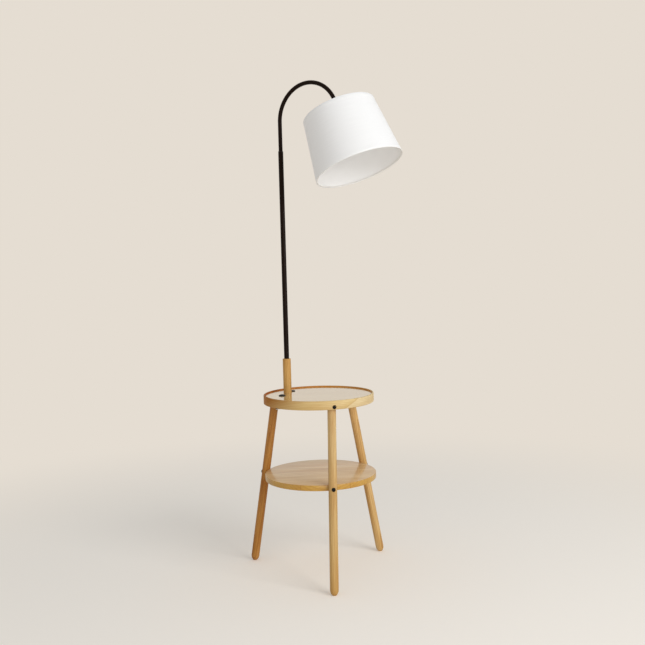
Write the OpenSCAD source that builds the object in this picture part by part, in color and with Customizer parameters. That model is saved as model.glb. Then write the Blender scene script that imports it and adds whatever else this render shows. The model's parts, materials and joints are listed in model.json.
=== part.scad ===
// Floor lamp with a round table: a bent-wood tray top and a shelf on three splayed dowel legs,
// a turned wooden post, a steel pole and a swivelling arc that carries a tapered drum shade.
// Millimetres, +Z up. The origin is on the floor under the centre of the table.

/* [Table top] */
// Outside diameter of the bent-wood rim
table_d = 350; // [330:5:380]
// Height of the rim's top edge above the floor
table_h = 566; // [530:2:600]
// Height of the rim
rim_h = 27.4; // [26:0.2:30]
// Width of the rim above the panel
rim_lip_w = 6; // [5:0.5:8]
// Width of the rim under the panel
rim_base_w = 18; // [16:0.5:20]
// Thickness of the top panel
panel_t = 8; // [7:0.5:9]
// How far the panel lies under the rim's top edge
panel_drop = 4; // [3:0.5:5]

/* [Shelf] */
// Diameter of the shelf
shelf_d = 354; // [340:2:370]
// Height of the shelf's top face above the floor
shelf_h = 312; // [260:2:350]
// Thickness of the shelf
shelf_t = 17.4; // [16:0.2:20]

/* [Legs] */
// Diameter of the leg dowels
leg_d = 26; // [24:0.5:28]
// Compass angle of the front leg where it is bolted to the rim
leg_az = -73.3; // [-80:0.1:-68]
// How much further round each leg is at the shelf than at the rim
leg_twist = 4.7; // [2:0.1:6]
// Length over which each foot is rounded off
foot_round = 20; // [16:1:24]

/* [Post and pole] */
// Distance of the post from the outer edge of the table
post_inset = 64.5; // [62:0.5:69]
// Compass angle of the post
post_az = 156.1; // [154:0.1:158]
// Diameter of the wooden post
post_d = 26; // [24:0.5:28]
// Height of the wooden post above the panel
post_h = 112; // [90:2:140]
// Height of the top of the lower pole above the floor
pole_top_h = 1336; // [1250:2:1380]
// Wall thickness of the pole and the arc tube
tube_wall = 1; // [0.8:0.1:1.2]

/* [Arc] */
// Outside diameter of the arc tube
arc_d = 12.7; // [12:0.1:14]
// Length of the arc tube inside the lower pole
arc_insert = 120; // [90:5:160]
// Height of the straight part of the arc tube above the lower pole
arc_rise = 91.5; // [60:0.5:140]
// Radius of the bend, to the middle of the tube
bend_r = 109; // [100:1:120]
// Compass angle at which the arc points at rest
arc_az = -33.2; // [-60:0.1:0]
// Lean of the shade away from upright
shade_tilt = 21.3; // [15:0.1:28]

/* [Shade] */
// Diameter of the shade at the top
shade_top_d = 226.6; // [210:0.2:240]
// Diameter of the shade at the bottom
shade_low_d = 274; // [250:1:300]
// Height of the shade along its own axis
shade_len = 189.6; // [175:0.1:210]
// Thickness of the lined fabric
shade_t = 1; // [0.8:0.1:1.2]
// Thickness of the wire in the shade's rings and arms
wire_d = 3; // [2.5:0.1:3.5]

/* [Socket and bulb] */
// Diameter of the lamp holder's threaded shell
shell_d = 38; // [37:0.5:40]
// Diameter of the bulb's glass
bulb_d = 60; // [55:1:65]

/* [Switch and port] */
// Distance of the switch from the post along their row
switch_off = 60; // [56:1:62]
// Distance of the charging port from the post along their row
port_off = 41; // [38:1:46]
// Diameter of the two fittings' flanges
flange_d = 21.5; // [19:0.5:23]
// Travel of the push button
button_travel = 1.5; // [1:0.1:2]

/* [Hidden] */
$fn = 96;

// clearances
seat_gap = 0.1;   // between pieces that are screwed or glued together
fit_gap = 0.05;   // round a sliding or turning piece, on the radius
hole_gap = 0.2;   // round a screw that passes through, on the radius
overcut = 1;      // how far a cut runs past the face it opens

// table top
table_r = table_d / 2;
rim_low_h = table_h - rim_h;
rim_in_r = table_r - rim_base_w;
panel_top_h = table_h - panel_drop;
panel_low_h = panel_top_h - panel_t;
panel_r = table_r - rim_lip_w - seat_gap;
rim_round = 2;

// bolts and threaded inserts
bolt_d = 6;
bolt_head_d = 12;
bolt_head_h = 4.4;
bolt_key = 4;
insert_d = 8;
insert_len = 13;
rim_bolt_h = (rim_low_h + panel_low_h) / 2;
spot_d = bolt_head_d + 0.8;

// shelf
shelf_r = shelf_d / 2;
shelf_low_h = shelf_h - shelf_t;
shelf_mid_h = shelf_h - shelf_t / 2;
shelf_round = 1.2;

// legs: each one's middle line runs through its two bolts
leg_r = leg_d / 2;
rim_flat_gap = 0.5;   // sagitta of the rim's inner wall over the width of the leg's flat
rim_flat_r = rim_in_r - rim_flat_gap;
rim_notch = 1.4;
leg_rim_r = rim_flat_r - leg_r + rim_notch;
leg_shelf_r = shelf_r + leg_r - 0.6;
leg_top_h = panel_low_h - seat_gap;
shelf_az = leg_az - leg_twist;
rim_point = [leg_rim_r * cos(leg_az), leg_rim_r * sin(leg_az), rim_bolt_h];
shelf_point = [leg_shelf_r * cos(shelf_az), leg_shelf_r * sin(shelf_az), shelf_mid_h];
leg_slope = (rim_point - shelf_point) / (rim_bolt_h - shelf_mid_h);
foot_sink = 2;   // how far the foot's middle is cut away below the floor
foot_point = shelf_point - leg_slope * (shelf_mid_h + foot_sink);
head_point = rim_point + leg_slope * (leg_top_h - rim_bolt_h + leg_r);
shelf_spot_r = leg_shelf_r + leg_r - 1.8;
bolt_key_depth = 2.4;
rim_spot_r = table_r - 0.4;
rim_bolt_len = 31;
shelf_bolt_len = leg_d + 16;

// blocks that hold the panel to the rim
block_w = 30;
block_d = 14;
block_h = 11;
block_screw_d = 3.5;
block_screw_len = 16;

// post, pole and what ties them to the panel
post_r = table_r - post_inset;
post_x = post_r * cos(post_az);
post_y = post_r * sin(post_az);
post_top_h = panel_top_h + post_h;
post_seat = 0.5;   // depth of the recess in the panel in which the post stands
post_low_h = panel_top_h - post_seat;
post_round = 1.5;
tie_d = 10;
tie_bore_d = 7;
socket_depth = 34;
bush_wall = 0.6;
bush_out_d = arc_d + 2 * fit_gap + 2 * bush_wall;
pole_in_d = bush_out_d;
pole_d = pole_in_d + 2 * tube_wall;
pole_low_h = post_top_h - socket_depth + seat_gap;
plug_len = 20;
bush_len = 22;
bush_floor = 3;
bush_cap_h = 1.5;
washer_d = 26;
washer_t = 2.5;
nut_flats = 17;
nut_h = 6;
tie_low_h = panel_low_h - washer_t - nut_h - 3;
arc_low_h = pole_top_h - arc_insert;

// arc and head; the head's own Z runs down the shade's axis from the end of the bend
bend_h = pole_top_h + arc_rise;
arc_in_d = arc_d - 2 * tube_wall;
bend_angle = 180 - shade_tilt;
ferrule_d = arc_d + 2.3;
ferrule_lap = 4;
nipple_d = 10;
nipple_start = 16;
nipple_end = 38;
shade_start = 34;
cap_start = 31;
cap_r = shell_d / 2 + 1;
cap_wall = 2;
flange_start = 47;
flange_t = 2;
hub_start = flange_start + flange_t;
hub_t = 1.6;
hub_r = shell_d / 2 + 8;
ring_nut_h = 8;
shell_end = 101;
shell_wall = 2;
core_start = hub_start;
core_end = 63;
contact_t = 1;
sleeve_out_r = 14.2;
sleeve_wall = 0.4;
sleeve_end = 90;
bulb_start = core_end + contact_t;
bulb_cap_r = 13.5;
bulb_cap_start = bulb_start + 4;
bulb_cap_end = 90;
bulb_r = bulb_d / 2;
glass_t = 0.8;
neck_r = 13.4;
bulb_len = 110;
bulb_mid = bulb_start + bulb_len - bulb_r;

// shade
shade_top_r = shade_top_d / 2;
shade_low_r = shade_low_d / 2;
shade_end = shade_start + shade_len;
shade_slope = (shade_low_r - shade_top_r) / shade_len;
wire_r = wire_d / 2;
ring_inset = shade_t + wire_r + 0.3;
top_ring_z = shade_start + wire_r + 0.6;
low_ring_z = shade_end - wire_r - 0.6;
top_ring_r = shade_top_r + shade_slope * (top_ring_z - shade_start) - ring_inset;
low_ring_r = shade_top_r + shade_slope * (low_ring_z - shade_start) - ring_inset;
arm_in_r = hub_r - 1.8;
arm_angles = [60, 180, 300];
arm_wire_r = wire_r - 0.25;
arm_len = norm([top_ring_r - arm_in_r, hub_start + hub_t / 2 - top_ring_z]);

// fittings on the panel stand in a row beside the post
row_az = 75;
row_shift = -1;
barrel_d = 16;
flange_h = 2.4;   // how far a flange stands above the panel
flange_seat = 0.3;   // depth of the recess under it
barrel_low_h = panel_low_h - 7;
button_d = 12;
button_low_h = panel_low_h + 3;
button_top_h = panel_top_h + flange_h + button_travel + 0.3;
fitting_nut_d = 20;
fitting_nut_h = 3;
switch_body_h = 9;
slot_w = 8.6;
slot_h = 2.8;
slot_depth = 6;
port_top_h = panel_top_h + flange_h - 0.5;

// wiring cover under the panel, in the row's frame
cover_wall = 2;
cover_margin = 18;   // room for a screw boss beyond each fitting
cover_back = 24;
gland_d = 16;
gland_h = rim_low_h - 5;   // low enough for a straight lead to pass under the rim
cover_low_h = gland_h - gland_d / 2 - cover_wall - 1.5;
cover_h = panel_low_h - cover_low_h;
cover_x0 = -switch_off - cover_margin;
cover_x1 = port_off + cover_margin;
cover_y0 = -cover_back;
cover_y1 = cover_margin;
boss_d = 8;
cover_screw_d = 3;
cover_screw_len = cover_h + 6;
gland_thread_d = 12;
gland_bore_d = 6.6;
gland_grip = 9;
gland_cone = 4;
gland_tail = 8;
gland_len = gland_tail + gland_grip + gland_cone;
gland_nut_w = 15;
gland_nut_h = 4;
lead_d = 5;
lead_bend_r = 7;
block_y0 = -cover_back + 3;
block_y1 = block_y0 + 10;
terminal_w = 18;

wood = "#c79a5c";
wood_dark = "#a87840";
panel_colour = "#d8c8b0";
black = "#1c1613";
white = "#f2f0ea";
steel = "#9a9a9c";
brass = "#c2a04c";

// a rectangle with round corners, standing on its lower left corner
module round_rect(w, h, r) {
    translate([r, 0]) square([w - 2 * r, h]);
    translate([0, r]) square([w, h - 2 * r]);
    for (x = [r, w - r], y = [r, h - r]) translate([x, y]) circle(r = r);
}

// a tube or a ring, standing on z = 0
module ring(r_out, r_in, h) {
    difference() {
        cylinder(r = r_out, h = h);
        translate([0, 0, -overcut]) cylinder(r = r_in, h = h + 2 * overcut);
    }
}

// turns its children's Z onto the line from a to b, with their origin at a
module along(a, b) {
    v = b - a;
    translate(a) rotate([0, acos(v.z / norm(v)), atan2(v.y, v.x)]) children();
}

// places its children so that their Z points outwards along a spoke of the table
module spoke(az, r, h) {
    rotate([0, 0, az]) translate([r, 0, h]) rotate([0, 90, 0]) children();
}

module each_leg() {
    for (k = [0:2]) rotate([0, 0, 120 * k]) children();
}

// the frame of the two fittings and the wiring under them
module row_frame() {
    translate([post_x, post_y, 0]) rotate([0, 0, row_az]) children();
}

module pole_frame() {
    translate([post_x, post_y, 0]) children();
}

module arc_frame() {
    pole_frame() rotate([0, 0, arc_az]) children();
}

// the frame of the lamp holder and the shade
module head_frame() {
    x_end = bend_r * (1 - cos(bend_angle));
    z_end = bend_h + bend_r * sin(bend_angle);
    arc_frame() translate([x_end, 0, z_end]) rotate([0, bend_angle, 0]) children();
}

// a rod of diameter d along the arc tube's path, from height low to the end of the bend
module arc_path(d, low) {
    translate([0, 0, low]) cylinder(d = d, h = bend_h - low);
    translate([bend_r, 0, bend_h]) rotate([90, 0, 180])
        rotate_extrude(angle = bend_angle) translate([bend_r, 0]) circle(d = d);
}

// the point of the arc after it has turned through angle a, in the arc's plane
function arc_point(a) = [bend_r * (1 - cos(a)), 0, bend_h + bend_r * sin(a)];

// a flexible lead of diameter d along points that lie in one upright plane with normal [0, 1, 0]
module lead(points, d) {
    sides = 8;
    last = len(points) - 1;
    rings = [for (i = [0:last]) let (
            ahead = points[min(i + 1, last)] - points[max(i - 1, 0)],
            side = [ahead.z, 0, -ahead.x] / norm(ahead))
        for (k = [0:sides - 1]) let (a = 360 * k / sides)
            points[i] + d / 2 * (cos(a) * side + sin(a) * [0, 1, 0])];
    walls = [for (i = [0:last - 1], k = [0:sides - 1]) let (n = (k + 1) % sides)
        [i * sides + k, i * sides + n, (i + 1) * sides + n, (i + 1) * sides + k]];
    foot = [for (k = [sides - 1:-1:0]) k];
    top = [for (k = [0:sides - 1]) last * sides + k];
    polyhedron(points = rings, faces = concat([foot], walls, [top]), convexity = 4);
}

module hex_prism(flats, h) {
    cylinder(d = flats / cos(30), h = h, $fn = 6);
}

// a domed bolt whose head stands on z = 0 and whose shank runs down
module dome_bolt(len) {
    dome_r = (pow(bolt_head_d / 2, 2) + pow(bolt_head_h, 2)) / (2 * bolt_head_h);
    difference() {
        intersection() {
            translate([0, 0, bolt_head_h - dome_r]) sphere(r = dome_r);
            cylinder(d = bolt_head_d, h = bolt_head_h + overcut);
        }
        translate([0, 0, bolt_head_h - bolt_key_depth]) hex_prism(bolt_key, bolt_head_h);
    }
    translate([0, 0, -len]) cylinder(d = bolt_d, h = len + 0.5);
}

module threaded_insert() {
    ring(insert_d / 2, bolt_d / 2 + fit_gap, insert_len);
}

// a pan-head screw: its head hangs from z = 0 and its shank runs up
module pan_screw(d, len) {
    difference() {
        translate([0, 0, -0.6 * d]) cylinder(d = 2 * d, h = 0.6 * d);
        for (a = [0, 90]) rotate([0, 0, a]) translate([0, 0, -0.6 * d])
            cube([1.3 * d, 0.25 * d, 0.6 * d], center = true);
    }
    cylinder(d = d, h = len);
}

module rim() {
    color(wood) difference() {
        rotate_extrude() {
            translate([rim_in_r, rim_low_h])
                round_rect(rim_base_w, panel_low_h - rim_low_h, rim_round / 2);
            translate([table_r - rim_lip_w, rim_low_h]) round_rect(rim_lip_w, rim_h, rim_round);
        }
        each_leg() spoke(leg_az, rim_in_r - overcut, rim_bolt_h)
            cylinder(d = bolt_d + 2 * hole_gap, h = rim_base_w + 2 * overcut);
        each_leg() spoke(leg_az, rim_spot_r, rim_bolt_h) cylinder(d = spot_d, h = 5);
    }
}

module top_panel() {
    hole_low = panel_low_h - overcut;
    hole_h = panel_t + 2 * overcut;
    color(panel_colour) difference() {
        translate([0, 0, panel_low_h]) cylinder(r = panel_r, h = panel_t);
        pole_frame() translate([0, 0, hole_low]) cylinder(d = tie_d + 2 * hole_gap, h = hole_h);
        pole_frame() translate([0, 0, panel_top_h - post_seat])
            cylinder(d = post_d + 2 * seat_gap, h = post_seat + overcut);
        row_frame() for (x = [-switch_off, port_off]) translate([x, row_shift, 0]) {
            translate([0, 0, hole_low]) cylinder(d = barrel_d + 2 * hole_gap, h = hole_h);
            translate([0, 0, panel_top_h - flange_seat])
                cylinder(d = flange_d + 2 * seat_gap, h = flange_seat + overcut);
        }
        cover_screw_places() translate([0, 0, panel_low_h - overcut])
            cylinder(d = cover_screw_d, h = overcut + 6 + seat_gap);
        block_places() translate([0, 0, -overcut])
            cylinder(d = block_screw_d, h = overcut + block_screw_len - block_h + seat_gap);
    }
}

// the middle of each block, with z = 0 on the panel's underside
module block_places() {
    mid_r = sqrt(pow(rim_in_r, 2) - pow(block_w / 2, 2)) - block_d / 2 - seat_gap;
    each_leg() rotate([0, 0, leg_az + 60]) translate([mid_r, 0, panel_low_h]) children();
}

module support_blocks() {
    color(wood_dark) block_places() difference() {
        translate([-block_d / 2, -block_w / 2, -block_h]) cube([block_d, block_w, block_h]);
        translate([0, 0, -block_h - overcut])
            cylinder(d = block_screw_d + 2 * hole_gap, h = block_h + 2 * overcut);
    }
}

module block_screws() {
    color(steel) block_places() translate([0, 0, -block_h]) pan_screw(block_screw_d, block_screw_len);
}

// one leg, cut level at both ends, seated in the rim and against the shelf
module leg(k) {
    far = 60;
    len = norm(head_point - foot_point);
    color(wood_dark) rotate([0, 0, 120 * k]) difference() {
        along(foot_point, head_point) rotate([0, 0, 90])
            rotate_extrude() dowel_outline(leg_r, len, foot_round);
        translate([foot_point.x - far, foot_point.y - far, -far]) cube([2 * far, 2 * far, far]);
        translate([head_point.x - far, head_point.y - far, leg_top_h]) cube([2 * far, 2 * far, far]);
        rotate([0, 0, leg_az]) translate([rim_flat_r, -leg_d, rim_low_h - seat_gap])
            cube([leg_d, 2 * leg_d, rim_h]);
        translate([0, 0, shelf_low_h - seat_gap])
            cylinder(r = shelf_r + seat_gap, h = shelf_t + 2 * seat_gap);
        spoke(leg_az, rim_flat_r - insert_len - seat_gap, rim_bolt_h)
            cylinder(d = insert_d + 2 * seat_gap, h = 2 * insert_len);
        spoke(leg_az, rim_spot_r - rim_bolt_len - seat_gap, rim_bolt_h)
            cylinder(d = bolt_d + 2 * hole_gap, h = rim_bolt_len);
        spoke(shelf_az, shelf_r - leg_r, shelf_mid_h)
            cylinder(d = bolt_d + 2 * hole_gap, h = 3 * leg_r + overcut);
        spoke(shelf_az, shelf_spot_r, shelf_mid_h) cylinder(d = spot_d, h = leg_r);
    }
}

// half the outline of a dowel with a rounded lower edge
module dowel_outline(r, len, tip) {
    tip_steps = 10;
    polygon(concat([for (i = [0 : tip_steps]) let (t = 90 * i / tip_steps) [r * sin(t), tip * (1 - cos(t))]],
        [[r, len], [0, len]]));
}

module leg_front() { leg(0); }
module leg_right() { leg(1); }
module leg_left() { leg(2); }

module shelf() {
    color(wood) difference() {
        rotate_extrude() {
            translate([0, shelf_low_h]) square([shelf_r - shelf_round, shelf_t]);
            translate([shelf_r / 2, shelf_low_h]) round_rect(shelf_r / 2, shelf_t, shelf_round);
        }
        each_leg() spoke(shelf_az, shelf_r - insert_len - seat_gap, shelf_mid_h)
            cylinder(d = insert_d + 2 * seat_gap, h = 2 * insert_len);
        each_leg() spoke(shelf_az, shelf_spot_r - shelf_bolt_len - seat_gap, shelf_mid_h)
            cylinder(d = bolt_d + 2 * hole_gap, h = shelf_bolt_len);
    }
}

module rim_bolts() {
    color(black) each_leg() spoke(leg_az, rim_spot_r, rim_bolt_h) dome_bolt(rim_bolt_len);
}

module rim_inserts() {
    color(brass) each_leg() spoke(leg_az, rim_flat_r - insert_len, rim_bolt_h) threaded_insert();
}

module shelf_bolts() {
    color(black) each_leg() spoke(shelf_az, shelf_spot_r, shelf_mid_h) dome_bolt(shelf_bolt_len);
}

module shelf_inserts() {
    color(brass) each_leg() spoke(shelf_az, shelf_r - insert_len - seat_gap / 2, shelf_mid_h)
        threaded_insert();
}

module wooden_post() {
    color(wood) pole_frame() difference() {
        rotate_extrude() {
            translate([0, post_low_h]) square([post_d / 2, post_top_h - post_round - post_low_h]);
            translate([0, post_low_h]) square([post_d / 2 - post_round, post_top_h - post_low_h]);
            translate([post_d / 2 - post_round, post_top_h - post_round]) circle(r = post_round);
        }
        translate([0, 0, post_low_h - overcut])
            cylinder(d = tie_d + 2 * hole_gap, h = post_h + 2 * overcut);
        translate([0, 0, post_top_h - socket_depth])
            cylinder(d = pole_d + 2 * seat_gap, h = socket_depth + overcut);
    }
}

module tie_tube() {
    color(steel) pole_frame() translate([0, 0, tie_low_h])
        ring(tie_d / 2, tie_bore_d / 2, pole_low_h + plug_len - 2 - tie_low_h);
}

module base_washer() {
    color(steel) pole_frame() translate([0, 0, panel_low_h - washer_t])
        ring(washer_d / 2, tie_d / 2 + seat_gap, washer_t);
}

module base_nut() {
    color(steel) pole_frame() translate([0, 0, panel_low_h - washer_t - nut_h]) difference() {
        hex_prism(nut_flats, nut_h);
        translate([0, 0, -overcut]) cylinder(d = tie_d + 2 * fit_gap, h = nut_h + 2 * overcut);
    }
}

module pole_plug() {
    color(steel) pole_frame() translate([0, 0, pole_low_h])
        ring(pole_in_d / 2 - fit_gap, tie_d / 2 + fit_gap, plug_len);
}

module lower_pole() {
    color(black) pole_frame() translate([0, 0, pole_low_h])
        ring(pole_d / 2, pole_in_d / 2, pole_top_h - bush_cap_h - pole_low_h);
}

module lower_bush() {
    color("#d8d4c8") pole_frame() translate([0, 0, arc_low_h - bush_floor - fit_gap]) difference() {
        cylinder(d = bush_out_d - fit_gap, h = bush_len);
        translate([0, 0, bush_floor]) cylinder(d = arc_d + 2 * fit_gap, h = bush_len);
        translate([0, 0, -overcut]) cylinder(d = arc_in_d - 1, h = bush_len);
    }
}

module upper_bush() {
    color(black) pole_frame() difference() {
        union() {
            translate([0, 0, pole_top_h - bush_cap_h]) cylinder(d = pole_d, h = bush_cap_h);
            translate([0, 0, pole_top_h - bush_len]) cylinder(d = bush_out_d - fit_gap, h = bush_len);
        }
        translate([0, 0, pole_top_h - bush_len - overcut])
            cylinder(d = arc_d + 2 * fit_gap, h = bush_len + 2 * overcut);
    }
}

module arc_tube() {
    color(black) arc_frame() difference() {
        arc_path(arc_d, arc_low_h);
        arc_path(arc_in_d, arc_low_h - overcut);
    }
}

// the sleeve brazed over the arc tube's end, which carries the lamp holder
module end_ferrule() {
    color(black) head_frame() difference() {
        translate([0, 0, -ferrule_lap]) cylinder(d = ferrule_d, h = ferrule_lap + cap_start);
        translate([0, 0, -ferrule_lap - overcut])
            cylinder(d = arc_d + 2 * seat_gap, h = ferrule_lap + overcut);
        translate([0, 0, -overcut]) cylinder(d = arc_in_d - 2, h = cap_start + 2 * overcut);
        translate([0, 0, nipple_start]) cylinder(d = nipple_d + 2 * fit_gap, h = cap_start);
    }
}

module tube_nipple() {
    color(steel) head_frame() translate([0, 0, nipple_start])
        ring(nipple_d / 2, lead_d / 2 + 1, nipple_end - nipple_start);
}

// the cap on top of the lamp holder, screwed to the nipple
module socket_cap() {
    neck = ferrule_d / 2 + 1;
    color(white) head_frame() difference() {
        rotate_extrude() polygon([[0, cap_start], [neck, cap_start], [cap_r, cap_start + 7],
            [cap_r, flange_start - seat_gap], [0, flange_start - seat_gap]]);
        rotate_extrude() polygon([[0, cap_start + cap_wall], [neck - cap_wall, cap_start + cap_wall],
            [cap_r - cap_wall, cap_start + 7 + cap_wall], [cap_r - cap_wall, flange_start + overcut],
            [0, flange_start + overcut]]);
        cylinder(d = nipple_d + 2 * fit_gap, h = flange_start);
    }
}

module socket_shell() {
    color(white) head_frame() difference() {
        union() {
            translate([0, 0, flange_start]) cylinder(r = shell_d / 2 + 4, h = flange_t);
            translate([0, 0, flange_start]) cylinder(d = shell_d, h = shell_end - flange_start);
        }
        translate([0, 0, flange_start - overcut])
            cylinder(r = shell_d / 2 - shell_wall, h = shell_end - flange_start + 2 * overcut);
    }
}

module socket_core() {
    color("#e8e4da") head_frame() translate([0, 0, core_start])
        cylinder(r = shell_d / 2 - shell_wall - seat_gap, h = core_end - core_start);
}

module screw_sleeve() {
    color(brass) head_frame() translate([0, 0, core_end])
        ring(sleeve_out_r, sleeve_out_r - sleeve_wall, sleeve_end - core_end);
}

module centre_contact() {
    color(brass) head_frame() translate([0, 0, core_end]) cylinder(d = 8, h = contact_t);
}

module shade_ring_nut() {
    color(white) head_frame() translate([0, 0, hub_start + hub_t]) difference() {
        cylinder(r = shell_d / 2 + 5, h = ring_nut_h);
        translate([0, 0, -overcut]) cylinder(r = shell_d / 2 + seat_gap, h = ring_nut_h + 2 * overcut);
        for (a = [0:15:345]) rotate([0, 0, a]) translate([shell_d / 2 + 5.4, 0, -overcut])
            cylinder(r = 1, h = ring_nut_h + 2 * overcut, $fn = 16);
    }
}

// the hub, its three arms and the top ring are welded into one piece
module shade_fitter() {
    color(white) head_frame() difference() {
        union() {
            translate([0, 0, hub_start]) cylinder(r = hub_r, h = hub_t);
            translate([0, 0, top_ring_z]) rotate_extrude() translate([top_ring_r, 0]) circle(r = wire_r);
            for (a = arm_angles) along(
                [arm_in_r * cos(a), arm_in_r * sin(a), hub_start + hub_t / 2],
                [top_ring_r * cos(a), top_ring_r * sin(a), top_ring_z])
                cylinder(r = arm_wire_r, h = arm_len);
        }
        translate([0, 0, hub_start - overcut])
            cylinder(r = shell_d / 2 + seat_gap, h = hub_t + 2 * overcut);
    }
}

module shade_bottom_ring() {
    color(white) head_frame() translate([0, 0, low_ring_z])
        rotate_extrude() translate([low_ring_r, 0]) circle(r = wire_r);
}

module shade_skin() {
    color(white) head_frame() rotate_extrude() polygon([
        [shade_top_r - shade_t, shade_start], [shade_top_r, shade_start],
        [shade_low_r, shade_end], [shade_low_r - shade_t, shade_end]]);
}

module bulb_cap() {
    color(steel) head_frame() translate([0, 0, bulb_cap_start])
        ring(bulb_cap_r, bulb_cap_r - 1, bulb_cap_end - bulb_cap_start);
}

module bulb_insulator() {
    color(black) head_frame() translate([0, 0, bulb_start + 1.5])
        cylinder(r1 = 7, r2 = 12, h = bulb_cap_start - bulb_start - 1.5);
}

module bulb_contact() {
    color(steel) head_frame() translate([0, 0, bulb_start]) cylinder(d = 9, h = 1.5);
}

// the outline of the glass: a neck that runs smoothly into a ball
function glass_outline(shrink) = let (
        r = bulb_r - shrink,
        join = 48,
        steps = 16)
    [for (i = [0:steps]) let (a = 90 - i * (90 + join) / steps)
        [r * cos(a), bulb_mid + r * sin(a)]];

module glass_solid(shrink, start) {
    rotate_extrude() polygon(concat([[0, start], [0, bulb_mid + bulb_r - shrink]],
        glass_outline(shrink), [[neck_r - shrink, start]]));
}

module bulb_glass() {
    color("#f8f4e8") head_frame() difference() {
        glass_solid(0, bulb_cap_end);
        glass_solid(glass_t, bulb_cap_end - overcut);
    }
}

// a round flange on the panel with a barrel through it
module fitting_bezel(bore_d) {
    translate([0, 0, barrel_low_h]) difference() {
        union() {
            cylinder(d = barrel_d, h = panel_top_h - barrel_low_h + flange_h);
            translate([0, 0, panel_top_h - flange_seat - barrel_low_h])
                cylinder(d = flange_d, h = flange_h + flange_seat);
        }
        translate([0, 0, -overcut])
            cylinder(d = bore_d, h = panel_top_h - barrel_low_h + flange_h + 2 * overcut);
    }
}

module fitting_nut() {
    translate([0, 0, panel_low_h - fitting_nut_h])
        ring(fitting_nut_d / 2, barrel_d / 2 + fit_gap, fitting_nut_h);
}

module switch_place() {
    row_frame() translate([-switch_off, row_shift, 0]) children();
}

module port_place() {
    row_frame() translate([port_off, row_shift, 0]) children();
}

module switch_bezel() {
    color(black) switch_place() fitting_bezel(button_d + 4 * fit_gap);
}

module switch_nut() {
    color(steel) switch_place() fitting_nut();
}

module switch_body() {
    color(black) switch_place() translate([0, 0, barrel_low_h - switch_body_h])
        cylinder(d = barrel_d + 2, h = switch_body_h);
}

module switch_button() {
    dish_r = 20;
    color("#2a2420") switch_place() difference() {
        translate([0, 0, button_low_h]) cylinder(d = button_d, h = button_top_h - button_low_h);
        translate([0, 0, button_top_h + dish_r - 0.5]) sphere(r = dish_r);
    }
}

module port_bezel() {
    color(black) port_place() fitting_bezel(button_d + 2 * fit_gap);
}

module port_nut() {
    color(steel) port_place() fitting_nut();
}

module port_socket() {
    color("#2a2420") port_place() difference() {
        translate([0, 0, barrel_low_h]) cylinder(d = button_d, h = port_top_h - barrel_low_h);
        translate([0, 0, port_top_h - slot_depth]) linear_extrude(slot_depth + overcut)
            translate([-slot_w / 2, -slot_h / 2]) round_rect(slot_w, slot_h, slot_h / 2 - 0.01);
    }
}

module charger_board() {
    board_l = 24;
    board_w = 20;
    board_t = 1.6;
    shift = 6;   // keeps the board clear of the cable gland's inner end
    coil_size = [12, 12, 8];
    low = barrel_low_h - board_t;
    color("#2f6b3f") port_place() translate([-board_l / 2 - shift, -board_w / 2 - 2, low])
        cube([board_l, board_w, board_t]);
    color(black) port_place() translate([-coil_size.x - 1, -coil_size.y + 4, low - coil_size.z])
        cube(coil_size);
}

module terminal_block() {
    low = cover_low_h + cover_wall;
    color(white) row_frame() translate([-terminal_w / 2, block_y0, low])
        cube([terminal_w, block_y1 - block_y0, tie_low_h - lead_bend_r + lead_d / 2 + 1 - low]);
}

module cover_screw_places() {
    inset = boss_d / 2 + 1;
    row_frame() for (x = [cover_x0 + inset, cover_x1 - inset], y = [cover_y0 + inset, cover_y1 - inset])
        translate([x, y, 0]) children();
}

module wiring_cover() {
    size_x = cover_x1 - cover_x0;
    size_y = cover_y1 - cover_y0;
    round_r = 5;
    low = cover_low_h;
    color(black) difference() {
        union() {
            row_frame() translate([cover_x0, cover_y0, low]) difference() {
                linear_extrude(cover_h - seat_gap) round_rect(size_x, size_y, round_r);
                translate([cover_wall, cover_wall, cover_wall]) linear_extrude(cover_h)
                    round_rect(size_x - 2 * cover_wall, size_y - 2 * cover_wall, round_r - cover_wall);
            }
            cover_screw_places() translate([0, 0, low]) cylinder(d = boss_d, h = cover_h - seat_gap);
        }
        cover_screw_places() translate([0, 0, low - overcut])
            cylinder(d = cover_screw_d + 2 * hole_gap, h = cover_h + 2 * overcut);
        gland_frame() translate([0, 0, -cover_wall - overcut])
            cylinder(d = gland_thread_d + 2 * seat_gap, h = cover_wall + 2 * overcut);
    }
}

module cover_screws() {
    color(steel) cover_screw_places() translate([0, 0, cover_low_h])
        pan_screw(cover_screw_d, cover_screw_len);
}

// the middle of the cover's end wall, with Z pointing out of it
module gland_frame() {
    row_frame() translate([cover_x1, (cover_y0 + cover_y1) / 2, gland_h]) rotate([0, 90, 0]) children();
}

module cable_gland() {
    color(black) gland_frame() difference() {
        union() {
            cylinder(d = gland_d, h = gland_grip);
            translate([0, 0, gland_grip]) cylinder(d1 = gland_d, d2 = gland_d - 5, h = gland_cone);
            translate([0, 0, -gland_tail]) cylinder(d = gland_thread_d, h = gland_tail + overcut);
        }
        translate([0, 0, -gland_tail - overcut]) cylinder(d = gland_bore_d, h = gland_len + 2 * overcut);
    }
}

module gland_nut() {
    color(black) gland_frame() translate([0, 0, -cover_wall - gland_nut_h]) difference() {
        hex_prism(gland_nut_w, gland_nut_h);
        translate([0, 0, -overcut])
            cylinder(d = gland_thread_d + 2 * fit_gap, h = gland_nut_h + 2 * overcut);
    }
}

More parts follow.
